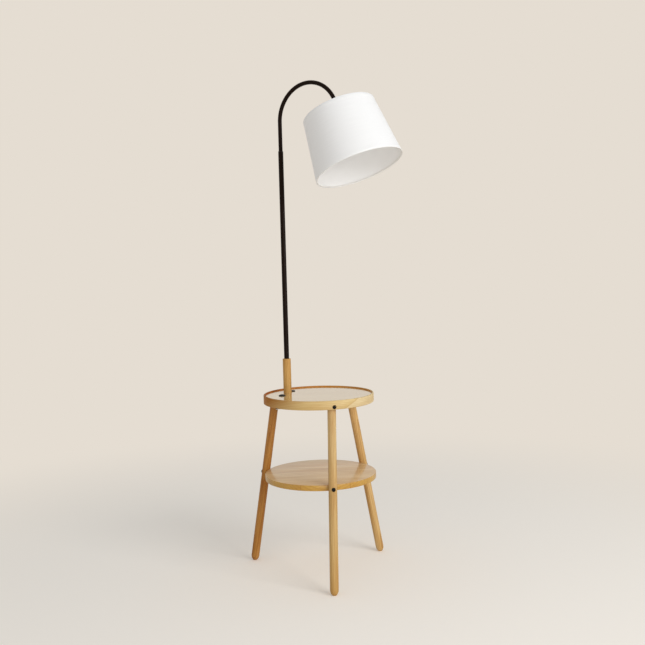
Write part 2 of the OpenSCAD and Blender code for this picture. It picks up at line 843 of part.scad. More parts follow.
// the lead from the terminal block, up the tie tube and the pole, to the foot of the arc tube
module lead_lower() {
    turn = [for (a = [0:15:90])
        [-lead_bend_r * (1 - sin(a)), 0, tie_low_h - lead_bend_r * cos(a)]];
    run = concat([[block_y1, 0, tie_low_h - lead_bend_r]], turn, [[0, 0, arc_low_h - seat_gap / 2]]);
    color("#e8e4da") row_frame() rotate([0, 0, 90]) lead(run, lead_d);
}

// the same lead inside the arc tube, as far as the lamp holder's core
module lead_upper() {
    head_dir = [sin(bend_angle), 0, cos(bend_angle)];
    turn = [for (i = [0:14]) arc_point(bend_angle * i / 14)];
    run = concat([[0, 0, arc_low_h + seat_gap / 2]], turn,
        [arc_point(bend_angle) + (core_start - seat_gap) * head_dir]);
    color("#e8e4da") arc_frame() lead(run, lead_d);
}

rim();
top_panel();
support_blocks();
block_screws();
leg_front();
leg_right();
leg_left();
shelf();
rim_bolts();
rim_inserts();
shelf_bolts();
shelf_inserts();
wooden_post();
tie_tube();
base_washer();
base_nut();
pole_plug();
lower_pole();
lower_bush();
upper_bush();
arc_tube();
end_ferrule();
tube_nipple();
socket_cap();
socket_shell();
socket_core();
screw_sleeve();
centre_contact();
shade_ring_nut();
shade_fitter();
shade_bottom_ring();
shade_skin();
bulb_cap();
bulb_insulator();
bulb_contact();
bulb_glass();
switch_bezel();
switch_nut();
switch_body();
switch_button();
port_bezel();
port_nut();
port_socket();
charger_board();
terminal_block();
wiring_cover();
cover_screws();
cable_gland();
gland_nut();
lead_lower();
lead_upper();
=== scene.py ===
import json
import math
import bmesh
import bpy
from mathutils import Matrix, Vector


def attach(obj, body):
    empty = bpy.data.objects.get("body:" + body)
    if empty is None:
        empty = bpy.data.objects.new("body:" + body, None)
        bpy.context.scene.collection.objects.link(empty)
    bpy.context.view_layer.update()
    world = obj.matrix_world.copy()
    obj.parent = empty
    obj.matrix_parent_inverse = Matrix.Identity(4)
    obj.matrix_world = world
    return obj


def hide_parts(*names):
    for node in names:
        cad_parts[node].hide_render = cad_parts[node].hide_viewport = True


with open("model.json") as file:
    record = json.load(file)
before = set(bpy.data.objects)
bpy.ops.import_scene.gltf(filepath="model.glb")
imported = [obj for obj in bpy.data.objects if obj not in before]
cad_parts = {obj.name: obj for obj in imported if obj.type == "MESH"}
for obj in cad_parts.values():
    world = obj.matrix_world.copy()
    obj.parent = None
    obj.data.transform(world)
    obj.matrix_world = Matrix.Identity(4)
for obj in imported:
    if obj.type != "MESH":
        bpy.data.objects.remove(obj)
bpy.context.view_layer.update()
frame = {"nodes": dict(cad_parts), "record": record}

nodes = frame["nodes"]
print("frame loaded:", len(nodes), "nodes")

post = {"x": -0.101025, "y": 0.044768}  # where the post stands, as in the model


def deselectAll():
    if bpy.context.object and bpy.context.object.mode != "OBJECT":
        bpy.ops.object.mode_set(mode="OBJECT")
    bpy.ops.object.select_all(action="DESELECT")


def useOnly(piece):
    deselectAll()
    piece.select_set(True)
    bpy.context.view_layer.objects.active = piece


def addRod(name, radius, low, high, sides=64, x=0.0, y=0.0):
    deselectAll()
    bpy.ops.mesh.primitive_cylinder_add(vertices=sides, radius=radius, depth=high - low,
                                        location=(x, y, (low + high) / 2))
    rod = bpy.context.object
    rod.name = name
    bpy.ops.object.transform_apply(location=True, rotation=True, scale=True)
    return rod


def editMesh(piece):
    useOnly(piece)
    bpy.ops.object.mode_set(mode="EDIT")
    bpy.ops.mesh.select_all(action="DESELECT")


def leaveEdit():
    bpy.ops.object.mode_set(mode="OBJECT")


def pickFaces(test):  # selects the faces whose middle and normal pass the test
    bpy.ops.mesh.select_mode(type="FACE")
    bpy.ops.mesh.select_all(action="DESELECT")
    mesh = bmesh.from_edit_mesh(bpy.context.object.data)
    mesh.normal_update()
    for face in mesh.faces:
        if test(face.calc_center_median(), face.normal):
            face.select_set(True)
    bmesh.update_edit_mesh(bpy.context.object.data)


def pickEdges(test):  # selects the edges whose two ends pass the test
    bpy.ops.mesh.select_mode(type="EDGE")
    bpy.ops.mesh.select_all(action="DESELECT")
    mesh = bmesh.from_edit_mesh(bpy.context.object.data)
    for edge in mesh.edges:
        if test(edge.verts[0].co) and test(edge.verts[1].co):
            edge.select_set(True)
    bmesh.update_edit_mesh(bpy.context.object.data)


def facesUp(middle, normal):
    return normal.z > 0.9


def facesDown(middle, normal):
    return normal.z < -0.9


def roundEdge(radius, height, offset, segments=3, x=0.0, y=0.0):
    # bevels the circle of edges at that radius and height
    near = 0.00005

    def onCircle(p):
        return abs(p.z - height) < near and abs(math.hypot(p.x - x, p.y - y) - radius) < near * 4

    pickEdges(onCircle)
    bpy.ops.mesh.bevel(offset=offset, segments=segments, affect="EDGES")


def turnPiece(name, steps, sides=48, x=0.0, y=0.0, openEnds=False):
    # a turned piece: a circle is pushed up through steps of (radius, height)
    radius, height = steps[0]
    deselectAll()
    bpy.ops.mesh.primitive_circle_add(vertices=sides, radius=radius, location=(x, y, height),
                                      fill_type="NOTHING" if openEnds else "NGON")
    piece = bpy.context.object
    piece.name = name
    bpy.ops.object.transform_apply(location=True, rotation=True, scale=True)
    bpy.ops.object.mode_set(mode="EDIT")
    bpy.ops.mesh.select_all(action="SELECT")
    push = bpy.ops.mesh.extrude_edges_move if openEnds else bpy.ops.mesh.extrude_region_move
    for newRadius, newHeight in steps[1:]:
        push(TRANSFORM_OT_translate={"value": (0, 0, newHeight - height)})
        scale = newRadius / radius
        bpy.ops.transform.resize(value=(scale, scale, 1), center_override=(x, y, newHeight))
        radius, height = newRadius, newHeight
    if not openEnds:
        bpy.ops.mesh.select_all(action="SELECT")
        bpy.ops.mesh.normals_make_consistent(inside=False)
    leaveEdit()
    return piece


def cutAway(piece, cutter):
    useOnly(piece)
    cut = piece.modifiers.new("cut", "BOOLEAN")
    cut.operation = "DIFFERENCE"
    cut.solver = "EXACT"
    cut.object = cutter
    bpy.ops.object.modifier_apply(modifier="cut")
    bpy.data.objects.remove(cutter, do_unlink=True)


def placeBy(piece, matrix):  # moves a piece and puts its place into its mesh
    useOnly(piece)
    piece.matrix_world = matrix
    bpy.ops.object.transform_apply(location=True, rotation=True, scale=True)


def finishPiece(piece, body, paint, stands=(), smoothAngle=35):
    # without a paint the piece keeps the materials that it has
    useOnly(piece)
    bpy.ops.object.shade_smooth_by_angle(angle=math.radians(smoothAngle))
    if paint:
        piece.data.materials.clear()
        piece.data.materials.append(paint)
    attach(piece, body)
    if stands:
        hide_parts(*stands)


def frameAlong(start, end):  # a frame at start whose Z points to end
    start, end = Vector(start), Vector(end)
    turn = (end - start).to_track_quat("Z", "Y")
    return Matrix.Translation(start) @ turn.to_matrix().to_4x4()


def spokeFrame(azimuth, radius, height):  # Z points outwards from the middle of the table
    a = math.radians(azimuth)
    foot = Vector((radius * math.cos(a), radius * math.sin(a), height))
    return frameAlong(foot, foot + Vector((math.cos(a), math.sin(a), 0)))


def newMaterial(name):
    paint = bpy.data.materials.new(name)
    paint.use_nodes = True
    tree = paint.node_tree
    shader = tree.nodes["Principled BSDF"]
    return paint, tree, shader


def addNode(tree, kind, **settings):
    made = tree.nodes.new("ShaderNode" + kind)
    for key, value in settings.items():
        setattr(made, key, value)
    return made


def calc(tree, operation, a, b=None):
    made = addNode(tree, "Math", operation=operation)
    for index, value in enumerate((a, b)):
        if value is None:
            continue
        if isinstance(value, (int, float)):
            made.inputs[index].default_value = value
        else:
            tree.links.new(value, made.inputs[index])
    return made.outputs[0]


def srgb(red, green, blue):  # a colour as read off a screen, 0 to 255
    values = []
    for value in (red, green, blue):
        value = value / 255
        values.append(value / 12.92 if value <= 0.04045 else ((value + 0.055) / 1.055) ** 2.4)
    return (*values, 1.0)


def ramp(tree, factor, stops):
    made = addNode(tree, "ValToRGB")
    elements = made.color_ramp.elements
    for element, (place, colour) in ((elements[0], stops[0]), (elements[1], stops[-1])):
        element.position = place
        element.color = colour
    for place, colour in stops[1:-1]:
        elements.new(place).color = colour
    tree.links.new(factor, made.inputs["Fac"])
    return made.outputs["Color"]


def mixColour(tree, blendType, factor, a, b):
    made = addNode(tree, "Mix", data_type="RGBA", blend_type=blendType)
    for socket, value in ((made.inputs[0], factor), (made.inputs[6], a), (made.inputs[7], b)):
        if isinstance(value, (int, float, tuple)):
            socket.default_value = value
        else:
            tree.links.new(value, socket)
    return made.outputs[2]


def bumpFrom(tree, shader, height, strength, distance):
    made = addNode(tree, "Bump")
    made.inputs["Strength"].default_value = strength
    made.inputs["Distance"].default_value = distance
    tree.links.new(height, made.inputs["Height"])
    tree.links.new(made.outputs["Normal"], shader.inputs["Normal"])


def noise(tree, vector, scale=1.0, detail=2.0, roughness=0.5):
    made = addNode(tree, "TexNoise")
    made.inputs["Scale"].default_value = scale
    made.inputs["Detail"].default_value = detail
    made.inputs["Roughness"].default_value = roughness
    tree.links.new(vector, made.inputs["Vector"])
    return made.outputs["Fac"]


def scaled(tree, vector, scale, shift=(0, 0, 0)):
    made = addNode(tree, "Mapping")
    made.inputs["Scale"].default_value = scale
    made.inputs["Location"].default_value = shift
    tree.links.new(vector, made.inputs["Vector"])
    return made.outputs["Vector"]


def splitAxes(tree, vector):
    made = addNode(tree, "SeparateXYZ")
    tree.links.new(vector, made.inputs[0])
    return made.outputs


def squareSum(tree, a, b):
    return calc(tree, "ADD", calc(tree, "POWER", a, 2.0), calc(tree, "POWER", b, 2.0))


def tinted(tree, colour, tint, mask, depth=None):  # darkens a colour by a tint where the mask is 1
    factor = mask if depth is None else calc(tree, "MULTIPLY", mask, depth)
    return mixColour(tree, "MULTIPLY", factor, colour, tint)


def betweenTones(tree, factor, look):
    return ramp(tree, factor, [(0.3, look["dark"]), (0.7, look["light"])])


grainLook = {
    "wander": (9, 9, 2.2), "broad": (26, 26, 5), "stretch": 45, "latePower": 3.0, "lateDepth": -0.4,
    "fibreFrom": 0.35, "fibreTo": 0.62, "roughSpread": 0.12, "bump": 0.25, "bumpDepth": 0.0002,
}


def woodMaterial(name, wood, place=(0, 0, 0), turn=(0, 0, 0), bent=False):
    # grain runs along Z of the placed frame; on bent wood it runs round the table's middle
    paint, tree, shader = newMaterial(name)
    link = tree.links.new
    coords = addNode(tree, "TexCoord")
    if bent:
        split = splitAxes(tree, coords.outputs["Object"])
        angle = calc(tree, "ARCTAN2", split["Y"], split["X"])
        radius = calc(tree, "SQRT", squareSum(tree, split["X"], split["Y"]))
        fromMiddle = calc(tree, "SUBTRACT", split["Z"], wood["middleHeight"])
        leaning = calc(tree, "MULTIPLY", fromMiddle, wood["scarfLean"])
        angle = calc(tree, "SUBTRACT", calc(tree, "SUBTRACT", angle, math.radians(wood["scarfAt"])), leaning)
        turns = calc(tree, "FRACT", calc(tree, "DIVIDE", angle, 2 * math.pi))  # 0 and 1 meet at the scarf joint
        along = calc(tree, "MULTIPLY", turns, wood["stripLength"])
        gather = addNode(tree, "CombineXYZ")
        link(radius, gather.inputs["X"])
        link(split["Z"], gather.inputs["Y"])
        link(along, gather.inputs["Z"])
        base = gather.outputs[0]
    else:
        mapping = addNode(tree, "Mapping", vector_type="TEXTURE")
        mapping.inputs["Location"].default_value = place
        mapping.inputs["Rotation"].default_value = turn
        link(coords.outputs["Object"], mapping.inputs["Vector"])
        base = mapping.outputs["Vector"]

    # slow wander of the grain
    drift = noise(tree, scaled(tree, base, grainLook["wander"], (wood["seed"], 1.7 * wood["seed"], 0)))

    # growth rings: distance from the heart of the tree, which lies beside the piece
    parts = splitAxes(tree, base)
    heartX, heartY = wood["heart"]
    fromX = calc(tree, "SUBTRACT", parts["X"], heartX)
    fromY = calc(tree, "SUBTRACT", parts["Y"], heartY)
    distance = calc(tree, "SQRT", squareSum(tree, fromX, fromY))
    moved = calc(tree, "ADD", distance, calc(tree, "MULTIPLY", drift, wood["waviness"]))
    moved = calc(tree, "ADD", moved, calc(tree, "MULTIPLY", parts["Z"], wood["taper"]))
    rings = calc(tree, "FRACT", calc(tree, "DIVIDE", moved, wood["ringWidth"]))
    late = calc(tree, "POWER", rings, grainLook["latePower"])  # each ring darkens towards its late wood

    # fibres, long and thin along the grain
    alongFibre = wood["fibre"] / grainLook["stretch"]
    fibre = noise(tree, scaled(tree, base, (wood["fibre"], wood["fibre"], alongFibre)), detail=4.0, roughness=0.65)

    # broad changes of tone
    tone = noise(tree, scaled(tree, base, grainLook["broad"]), detail=1.0)

    colour = ramp(tree, tone, [(0.3, wood["deep"]), (0.5, wood["middle"]), (0.7, wood["pale"])])
    colour = tinted(tree, colour, wood["ringTint"], late, wood["ringDepth"])
    streak = ramp(tree, fibre, [(grainLook["fibreFrom"], (0, 0, 0, 1)), (grainLook["fibreTo"], (1, 1, 1, 1))])
    colour = tinted(tree, colour, wood["fibreTint"], streak, wood["fibreDepth"])

    if wood.get("staves"):  # boards glued edge to edge
        board = calc(tree, "DIVIDE", parts["X"], wood["staves"])
        toneOf = addNode(tree, "TexWhiteNoise", noise_dimensions="1D")
        link(calc(tree, "FLOOR", board), toneOf.inputs["W"])
        colour = tinted(tree, colour, wood["staveTint"], toneOf.outputs["Value"], wood["staveDepth"])
        edge = calc(tree, "ABSOLUTE", calc(tree, "SUBTRACT", calc(tree, "FRACT", board), 0.5))
        glueLine = calc(tree, "GREATER_THAN", edge, 0.5 - wood["glueWidth"] / wood["staves"])
        colour = tinted(tree, colour, wood["ringTint"], glueLine, wood["glueDepth"])

    if wood.get("edgeFrom"):  # the turned edge is tinted deeper and yellower than the faces
        split = splitAxes(tree, coords.outputs["Object"])
        onEdge = calc(tree, "GREATER_THAN", squareSum(tree, split["X"], split["Y"]), wood["edgeFrom"] ** 2)
        colour = tinted(tree, colour, wood["edgeTint"], onEdge)

    if wood.get("footShadeTint"):  # painted shade: the dowel darkens towards its foot
        lower = addNode(tree, "MapRange")
        lower.inputs["From Max"].default_value = wood["tallTo"]
        lower.inputs["To Min"].default_value = 1.0
        lower.inputs["To Max"].default_value = 0.0
        link(parts["Z"], lower.inputs["Value"])
        colour = tinted(tree, colour, wood["footShadeTint"], lower.outputs["Result"])

    if bent:  # painted shade: a ramp along the strip darkens it on the table's left side, and its two ends meet in a slanting scarf joint
        colour = tinted(tree, colour, ramp(tree, turns, wood["shadeAlongStrip"]), 1.0)
        inner = calc(tree, "LESS_THAN", radius, wood["innerFrom"])  # painted shade: the inner face, which lies in shade, is deepened to orange
        colour = tinted(tree, colour, wood["innerShadeTint"], inner)
        fromEnd = calc(tree, "MINIMUM", turns, calc(tree, "SUBTRACT", 1.0, turns))
        line = calc(tree, "LESS_THAN", fromEnd, wood["scarfWidth"] / wood["stripLength"])
        colour = tinted(tree, colour, wood["ringTint"], line, wood["scarfDepth"])

    link(colour, shader.inputs["Base Color"])
    rough = calc(tree, "ADD", wood["roughness"], calc(tree, "MULTIPLY", fibre, grainLook["roughSpread"]))
    link(rough, shader.inputs["Roughness"])
    shader.inputs["Specular IOR Level"].default_value = wood["gloss"]
    shader.inputs["Coat Weight"].default_value = wood["coat"]
    shader.inputs["Coat Roughness"].default_value = wood["coatRoughness"]
    height = calc(tree, "ADD", calc(tree, "MULTIPLY", late, grainLook["lateDepth"]), fibre)
    bumpFrom(tree, shader, height, grainLook["bump"], grainLook["bumpDepth"])
    return paint


plainLook = {
    "patchScale": 30.0, "wearFrom": 0.53, "wearTo": 0.6, "wearDepth": 0.35, "roughSpread": 0.1,
    "bumpDepth": 0.0002, "metallic": 0.0, "gloss": 0.5,
}


def plainFinish(name, finish):
    # paint, plastic or metal with a fine surface and a little unevenness
    paint, tree, shader = newMaterial(name)
    link = tree.links.new
    look = dict(plainLook, **finish)
    coords = addNode(tree, "TexCoord")
    fine = noise(tree, coords.outputs["Object"], look["grainScale"], 3.0)
    patches = noise(tree, coords.outputs["Object"], look["patchScale"])
    colour = betweenTones(tree, patches, look)
    if look.get("edgeTint"):  # thin wear where edges stand out
        geometry = addNode(tree, "NewGeometry")
        stops = [(look["wearFrom"], (0, 0, 0, 1)), (look["wearTo"], (1, 1, 1, 1))]
        worn = calc(tree, "MULTIPLY", ramp(tree, geometry.outputs["Pointiness"], stops), look["wearDepth"])
        colour = mixColour(tree, "MIX", worn, colour, look["edgeTint"])
    link(colour, shader.inputs["Base Color"])
    spread = calc(tree, "MULTIPLY", patches, look["roughSpread"])
    link(calc(tree, "ADD", look["roughness"] - look["roughSpread"] / 2, spread), shader.inputs["Roughness"])
    shader.inputs["Metallic"].default_value = look["metallic"]
    shader.inputs["Specular IOR Level"].default_value = look["gloss"]
    bumpFrom(tree, shader, fine, look["bump"], look["bumpDepth"])
    return paint


rimWood = {
    "seed": 3.0, "heart": (0.2, 0.43), "waviness": 0.012, "taper": 0.012, "ringWidth": 0.0048,
    "ringDepth": 0.42, "fibre": 900.0, "fibreDepth": 0.35,
    "pale": srgb(233, 216, 173), "middle": srgb(225, 205, 160), "deep": srgb(214, 189, 139),
    "ringTint": srgb(202, 160, 106), "fibreTint": srgb(216, 192, 152),
    "roughness": 0.45, "gloss": 0.15, "coat": 0.0, "coatRoughness": 0.25,
    # painted shade: the rim's inner face is deepened to orange
    "innerFrom": 0.1697, "innerShadeTint": srgb(255, 206, 140),
    "middleHeight": 0.5523, "stripLength": 1.0996, "scarfAt": -54.0, "scarfLean": 11.4,
    "scarfWidth": 0.0009, "scarfDepth": 0.8,
    # painted shade: the strip is darkened to brown on the table's left side, between 0.6 and 0.72 of a turn
    "shadeAlongStrip": [(0.0, srgb(255, 255, 255)), (0.3, srgb(250, 243, 232)), (0.6, srgb(196, 138, 40)),
                   (0.72, srgb(194, 136, 34)), (0.86, srgb(250, 241, 218)), (0.97, srgb(255, 250, 238)),
                   (1.0, srgb(243, 234, 208))],
}
shelfWood = {
    "seed": 8.0, "heart": (0.03, -0.16), "waviness": 0.02, "taper": 0.03, "ringWidth": 0.0065,
    "ringDepth": 0.38, "fibre": 800.0, "fibreDepth": 0.35,
    "staves": 0.034, "staveDepth": 0.55, "glueWidth": 0.0004, "glueDepth": 0.5,
    "pale": srgb(247, 223, 179), "middle": srgb(241, 213, 163), "deep": srgb(230, 197, 143),
    "ringTint": srgb(190, 142, 88), "fibreTint": srgb(210, 180, 136), "staveTint": srgb(230, 204, 164),
    "roughness": 0.34, "gloss": 0.4, "coat": 0.5, "coatRoughness": 0.12,
    "edgeFrom": 0.1762, "edgeTint": srgb(222, 200, 118),
}
legWood = {
    "seed": 5.0, "heart": (0.055, 0.02), "waviness": 0.018, "taper": 0.012, "ringWidth": 0.0046,
    "ringDepth": 0.5, "fibre": 420.0, "fibreDepth": 0.45,
    "pale": srgb(228, 192, 134), "middle": srgb(218, 178, 116), "deep": srgb(205, 161, 98),
    "ringTint": srgb(188, 134, 70), "fibreTint": srgb(206, 172, 122),
    "roughness": 0.45, "gloss": 0.2, "coat": 0.03, "coatRoughness": 0.25,
}
postWood = dict(legWood, seed=11.0, heart=(-0.05, -0.03), pale=srgb(216, 177, 108), middle=srgb(206, 163, 94),
                deep=srgb(194, 149, 82))
panelWood = {
    "seed": 14.0, "heart": (0.05, -0.2), "waviness": 0.02, "taper": 0.02, "ringWidth": 0.006,
    "ringDepth": 0.25, "fibre": 700.0, "fibreDepth": 0.25,
    "staves": 0.09, "staveDepth": 0.55, "glueWidth": 0.0004, "glueDepth": 0.5,
    "pale": srgb(226, 200, 146), "middle": srgb(219, 190, 132), "deep": srgb(210, 178, 118),
    "ringTint": srgb(206, 172, 126), "fibreTint": srgb(214, 190, 150), "staveTint": srgb(232, 214, 180),
    "roughness": 0.08, "gloss": 0.5, "coat": 1.0, "coatRoughness": 0.04,
}

acrossTable = (math.radians(90), 0, math.radians(96))  # grain lies level, nearly from left to right
woods = {
    "rim": woodMaterial("bent_rim_wood", rimWood, bent=True),
    "shelf": woodMaterial("shelf_wood", shelfWood, (0, 0.01, 0.3), acrossTable),
    "panel": woodMaterial("lacquered_panel_wood", panelWood, (0, 0, 0.55), acrossTable),
    "post": woodMaterial("post_wood", postWood, (post["x"], post["y"], 0.6)),
    "blocks": woodMaterial("block_wood", legWood, (0, 0, 0.5)),
}
print("wood finishes made")

finishes = {
    "pole_paint": plainFinish("dark_bronze_paint", {
        "dark": srgb(19, 8, 2), "light": srgb(26, 12, 5), "roughness": 0.36, "grainScale": 2600.0,
        "bump": 0.12, "gloss": 0.08}),
    "black_bolt": plainFinish("black_oxide", {
        "dark": srgb(12, 10, 9), "light": srgb(19, 16, 14), "roughness": 0.42, "grainScale": 2200.0,
        "bump": 0.1, "gloss": 0.18}),
    "steel": plainFinish("zinc_plate", {
        "dark": srgb(176, 178, 180), "light": srgb(200, 201, 202), "roughness": 0.32, "grainScale": 1500.0,
        "bump": 0.1, "metallic": 1.0, "edgeTint": srgb(226, 226, 226)}),
    "brass": plainFinish("brass_metal", {
        "dark": srgb(196, 160, 86), "light": srgb(216, 184, 108), "roughness": 0.3, "grainScale": 1500.0,
        "bump": 0.1, "metallic": 1.0}),
    "nylon": plainFinish("natural_nylon", {
        "dark": srgb(222, 218, 206), "light": srgb(232, 229, 219), "roughness": 0.5, "grainScale": 1200.0,
        "bump": 0.08}),
    "black_plastic": plainFinish("black_plastic_finish", {
        "dark": srgb(20, 17, 16), "light": srgb(27, 23, 22), "roughness": 0.5, "grainScale": 1800.0,
        "bump": 0.3, "gloss": 0.3}),
    "white_plastic": plainFinish("white_plastic_finish", {
        "dark": srgb(232, 230, 224), "light": srgb(240, 238, 233), "roughness": 0.32, "grainScale": 1400.0,
        "bump": 0.05}),
    "white_wire": plainFinish("white_powder_coat", {
        "dark": srgb(234, 232, 227), "light": srgb(242, 240, 236), "roughness": 0.5, "grainScale": 1600.0,
        "bump": 0.25}),
    "fitting_face": plainFinish("dark_fitting_face", {
        "dark": srgb(26, 22, 22), "light": srgb(34, 30, 29), "roughness": 0.4, "grainScale": 1800.0,
        "bump": 0.15, "gloss": 0.3}),
    "circuit_board": plainFinish("green_solder_mask", {
        "dark": srgb(38, 92, 58), "light": srgb(50, 112, 70), "roughness": 0.35, "grainScale": 700.0,
        "bump": 0.2, "patchScale": 300.0}),
    "lead_sheath": plainFinish("pale_lead_sheath", {
        "dark": srgb(222, 219, 210), "light": srgb(232, 230, 222), "roughness": 0.5, "grainScale": 900.0,
        "bump": 0.1}),
}
print("plain finishes made")


clothLook = {
    "thread": 0.0009, "slubScale": 220.0, "slubShift": 0.0004, "toneScale": (12, 900, 1),
    "dark": srgb(241, 242, 243), "light": srgb(245, 246, 247),
    "roughness": 0.85, "sheen": 0.15, "sheenRoughness": 0.4, "bump": 0.06, "bumpDepth": 0.0001,
}


def shadeCloth(cloth):  # fine linen outside; thread size in metres, on the piece's own UV map
    paint, tree, shader = newMaterial("white_linen")
    uv = addNode(tree, "UVMap", uv_map="cloth").outputs["UV"]
    split = splitAxes(tree, uv)
    slub = noise(tree, uv, cloth["slubScale"])  # threads vary in thickness
    waves = []
    for axis in ("X", "Y"):
        moved = calc(tree, "ADD", split[axis], calc(tree, "MULTIPLY", slub, cloth["slubShift"]))
        waves.append(calc(tree, "SINE", calc(tree, "MULTIPLY", moved, 2 * math.pi / cloth["thread"])))
    weave = calc(tree, "MAXIMUM", waves[0], waves[1])
    threadTone = noise(tree, scaled(tree, uv, cloth["toneScale"]))
    colour = betweenTones(tree, threadTone, cloth)
    tree.links.new(colour, shader.inputs["Base Color"])
    shader.inputs["Roughness"].default_value = cloth["roughness"]
    shader.inputs["Sheen Weight"].default_value = cloth["sheen"]
    shader.inputs["Sheen Roughness"].default_value = cloth["sheenRoughness"]
    bumpFrom(tree, shader, weave, cloth["bump"], cloth["bumpDepth"])
    return paint


def smoothSkin(name, look):  # a smooth surface with faint patches, as of film or frosted glass
    paint, tree, shader = newMaterial(name)
    coords = addNode(tree, "TexCoord")
    patches = noise(tree, coords.outputs["Object"], look["scale"])
    colour = betweenTones(tree, patches, look)
    tree.links.new(colour, shader.inputs["Base Color"])
    shader.inputs["Roughness"].default_value = look["roughness"]
    if look.get("milky"):
        shader.inputs["Subsurface Weight"].default_value = look["milky"]
        shader.inputs["Subsurface Radius"].default_value = (look["milkDepth"],) * 3
    bumpFrom(tree, shader, patches, look["bump"], look["bumpDepth"])
    return paint


linen = shadeCloth(clothLook)
lining = smoothSkin("white_lining", {
    "scale": 14.0, "dark": srgb(245, 245, 245), "light": srgb(249, 249, 249), "roughness": 0.55,
    "bump": 0.05, "bumpDepth": 0.0002})
finishes["bulb_glass"] = smoothSkin("frosted_bulb_glass", {
    "scale": 900.0, "dark": srgb(240, 238, 232), "light": srgb(248, 246, 241), "roughness": 0.3,
    "milky": 0.3, "milkDepth": 0.004, "bump": 0.05, "bumpDepth": 0.0001})

# the nodes that stay as they are get these finishes; a piece made below may still replace one
plainSlots = {part["node"]: part["material_slot"] for part in frame["record"]["subparts"]}
slotPaints = dict(finishes, light_wood=woods["rim"], leg_wood=woods["blocks"], panel_lacquer=woods["panel"],
                  shade_fabric=linen)
for nodeName, nodeObject in nodes.items():
    for materialSlot in nodeObject.material_slots:
        materialSlot.material = slotPaints[plainSlots[nodeName]]
print("finishes on the nodes")


rimSizes = {"radius": 0.175, "low": 0.5386, "top": 0.566, "panelLow": 0.554, "lip": 0.006, "base": 0.018,
            "round": 0.002, "lipRound": 0.0016, "innerRound": 0.001}


def makeRim(sizes):
    rim = addRod("bent_rim", sizes["radius"], sizes["low"], sizes["top"], sides=256)
    editMesh(rim)
    pickFaces(facesUp)
    bpy.ops.mesh.inset(thickness=sizes["lip"])
    bpy.ops.mesh.extrude_region_move(TRANSFORM_OT_translate={"value": (0, 0, sizes["panelLow"] - sizes["top"])})
    bpy.ops.mesh.inset(thickness=sizes["base"] - sizes["lip"])
    bpy.ops.mesh.delete(type="FACE")
    pickFaces(facesDown)
    bpy.ops.mesh.inset(thickness=sizes["base"])
    bpy.ops.mesh.delete(type="FACE")
    inner = sizes["radius"] - sizes["base"]
    slack = 0.0005
    pickEdges(lambda p: math.hypot(p.x, p.y) < inner + slack)
    bpy.ops.mesh.bridge_edge_loops()
    bpy.ops.mesh.select_all(action="SELECT")
    bpy.ops.mesh.normals_make_consistent(inside=False)
    roundEdge(sizes["radius"], sizes["top"], sizes["round"], 4)
    roundEdge(sizes["radius"], sizes["low"], sizes["round"], 4)
    roundEdge(sizes["radius"] - sizes["lip"], sizes["top"], sizes["lipRound"], 3)
    roundEdge(inner, sizes["low"], sizes["innerRound"], 2)
    leaveEdit()
    return rim


finishPiece(makeRim(rimSizes), "table", woods["rim"], ("rim",))

shelfSizes = {"radius": 0.177, "low": 0.2946, "top": 0.312, "round": 0.0014}


def makeShelf(sizes):
    shelf = addRod("round_shelf", sizes["radius"], sizes["low"], sizes["top"], sides=256)
    editMesh(shelf)
    roundEdge(sizes["radius"], sizes["top"], sizes["round"], 3)
    roundEdge(sizes["radius"], sizes["low"], sizes["round"], 3)
    leaveEdit()
    return shelf


finishPiece(makeShelf(shelfSizes), "table", woods["shelf"], ("shelf",))
print("rim and shelf made")

legSizes = {
    "foot": (0.036539, -0.243648, -0.002), "head": (0.04183, -0.134849, 0.5669), "radius": 0.013,
    "footRound": 0.02, "footSteps": 12, "top": 0.5539, "rimFlat": 0.1565, "rimLow": 0.5385, "block": 0.06,
    "rimAzimuth": -73.3, "shelfAzimuth": -78.0, "notchRadius": 0.1771, "notchLow": 0.2945, "notchTop": 0.3121,
    "spotRadius": 0.0064, "spotFrom": 0.2006, "spotDepth": 0.012, "boltHeight": 0.3033,
}


def makeLeg(name, sizes, turn):
    foot, head = Vector(sizes["foot"]), Vector(sizes["head"])
    steps = []
    for step in range(1, sizes["footSteps"] + 1):
        a = math.radians(90 * step / sizes["footSteps"])
        steps.append((sizes["radius"] * math.sin(a), sizes["footRound"] * (1 - math.cos(a))))
    leg = turnPiece(name, steps + [(sizes["radius"], (head - foot).length)], 64)
    placeBy(leg, frameAlong(foot, head))
    editMesh(leg)
    for height, side in ((0.0, "clear_inner"), (sizes["top"], "clear_outer")):
        bpy.ops.mesh.select_all(action="SELECT")
        bpy.ops.mesh.bisect(plane_co=(0, 0, height), plane_no=(0, 0, 1), use_fill=True, threshold=0.000001,
                            **{side: True})
    leaveEdit()

    deselectAll()  # the flat that sits against the rim
    bpy.ops.mesh.primitive_cube_add(size=sizes["block"])
    rimBlock = bpy.context.object
    a = math.radians(sizes["rimAzimuth"])
    middle = sizes["rimFlat"] + sizes["block"] / 2
    placeBy(rimBlock, Matrix.Translation((middle * math.cos(a), middle * math.sin(a),
                                          sizes["rimLow"] + sizes["block"] / 2)) @ Matrix.Rotation(a, 4, "Z"))
    cutAway(leg, rimBlock)
    cutAway(leg, addRod("shelf_cutter", sizes["notchRadius"], sizes["notchLow"], sizes["notchTop"], sides=256))
    spot = addRod("spot_cutter", sizes["spotRadius"], 0.0, sizes["spotDepth"], sides=48)
    placeBy(spot, spokeFrame(sizes["shelfAzimuth"], sizes["spotFrom"], sizes["boltHeight"]))
    cutAway(leg, spot)
    placeBy(leg, Matrix.Rotation(math.radians(turn), 4, "Z"))
    return leg


